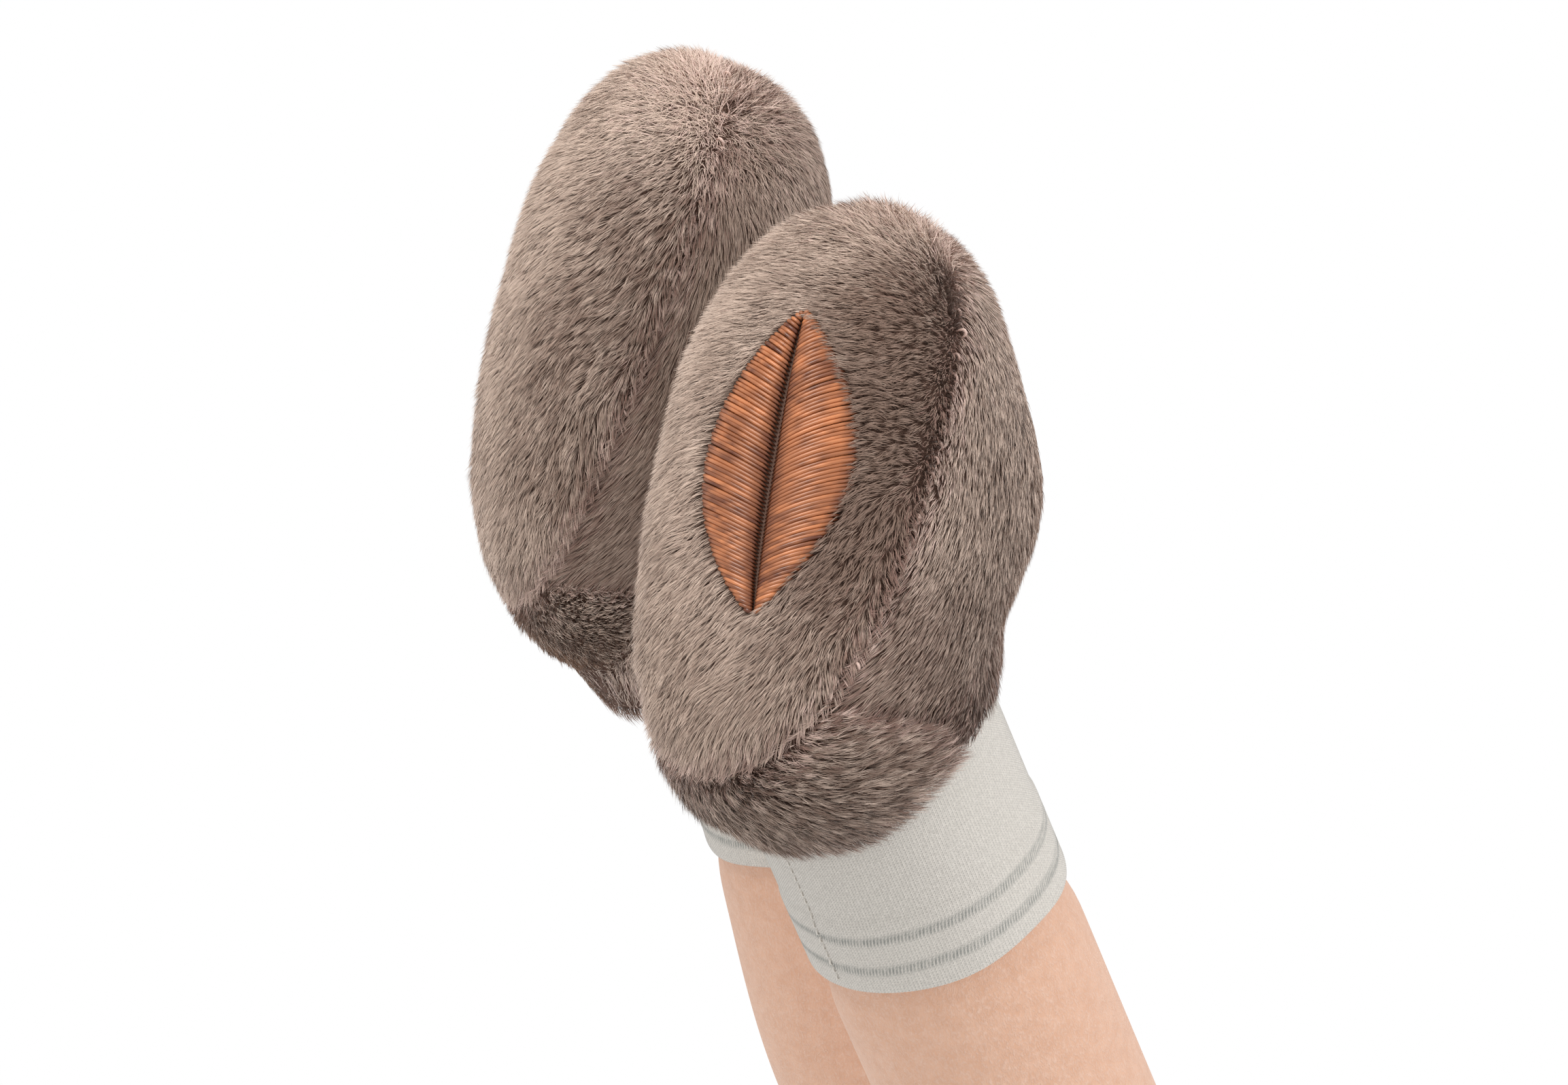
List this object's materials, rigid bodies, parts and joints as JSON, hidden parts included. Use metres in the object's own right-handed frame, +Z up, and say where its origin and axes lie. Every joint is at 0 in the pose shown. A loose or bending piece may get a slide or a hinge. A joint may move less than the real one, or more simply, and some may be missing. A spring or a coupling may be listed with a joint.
{
  "type": "puppet legs",
  "caption": "Stuffed puppet legs in knit cuffs and plush slippers, hanging from a sewn hem band, with freely swinging hips and soft springy ankles.",
  "frame": {"origin": "centre of the hem band's flat top fold, where the puppet's body is sewn on", "axes": "+Z up out of the hem, +X to the puppet's left, -Y the way the puppet faces"},
  "size_m": [0.136, 0.0758, 0.2556],
  "materials": {
    "peach_fabric": "brushed velour",
    "plush": "short pile",
    "knit": "fine knit",
    "fibre_fill": "loose fibre",
    "peach_thread": "thread",
    "pale_thread": "thread",
    "copper_thread": "satin stitch"
  },
  "bodies": {
    "hem": {"hem_band": "peach_fabric", "left_leg_tab": "peach_fabric", "right_leg_tab": "peach_fabric", "hem_topstitch_front": "peach_thread", "hem_topstitch_back": "peach_thread"},
    "left_leg": {"left_leg_skin": "peach_fabric", "left_leg_stuffing": "fibre_fill", "left_leg_inseam": "peach_thread", "left_cuff": "knit", "left_cuff_seam": "pale_thread"},
    "right_leg": {"right_leg_skin": "peach_fabric", "right_leg_stuffing": "fibre_fill", "right_leg_inseam": "peach_thread", "right_cuff": "knit", "right_cuff_seam": "pale_thread"},
    "left_foot": {"left_slipper_sole": "plush", "left_slipper_outer_side": "plush", "left_slipper_inner_side": "plush", "left_slipper_heel": "plush", "left_slipper_stuffing": "fibre_fill", "left_sole_seam": "pale_thread", "left_instep_seam": "pale_thread", "left_heel_seam_outer": "pale_thread", "left_heel_seam_inner": "pale_thread", "left_sole_leaf_outer": "copper_thread", "left_sole_leaf_inner": "copper_thread"},
    "right_foot": {"right_slipper_sole": "plush", "right_slipper_outer_side": "plush", "right_slipper_inner_side": "plush", "right_slipper_heel": "plush", "right_slipper_stuffing": "fibre_fill", "right_sole_seam": "pale_thread", "right_instep_seam": "pale_thread", "right_heel_seam_outer": "pale_thread", "right_heel_seam_inner": "pale_thread"}
  },
  "joints": [
    {"name": "left_hip", "type": "hinge", "parent": "hem", "child": "left_leg", "pos_m": [0.0385, 0, -0.0245], "axis": [-1, 0, 0], "range_deg": [-45, 90]},
    {"name": "left_ankle", "type": "hinge", "parent": "left_leg", "child": "left_foot", "pos_m": [0.0385, 0, -0.1945], "axis": [-0.7198, 0.6937, -0.0247], "range_deg": [-12, 12], "stiffness_Nm_per_rad": 0.2, "deforming": ["left_cuff"]},
    {"name": "right_hip", "type": "hinge", "parent": "hem", "child": "right_leg", "pos_m": [-0.0385, 0, -0.0245], "axis": [-1, 0, 0], "range_deg": [-45, 90]},
    {"name": "right_ankle", "type": "hinge", "parent": "right_leg", "child": "right_foot", "pos_m": [-0.0385, 0, -0.1945], "axis": [-0.998, 0.0541, 0.0315], "range_deg": [-12, 12], "stiffness_Nm_per_rad": 0.2, "deforming": ["right_cuff"]}
  ]
}
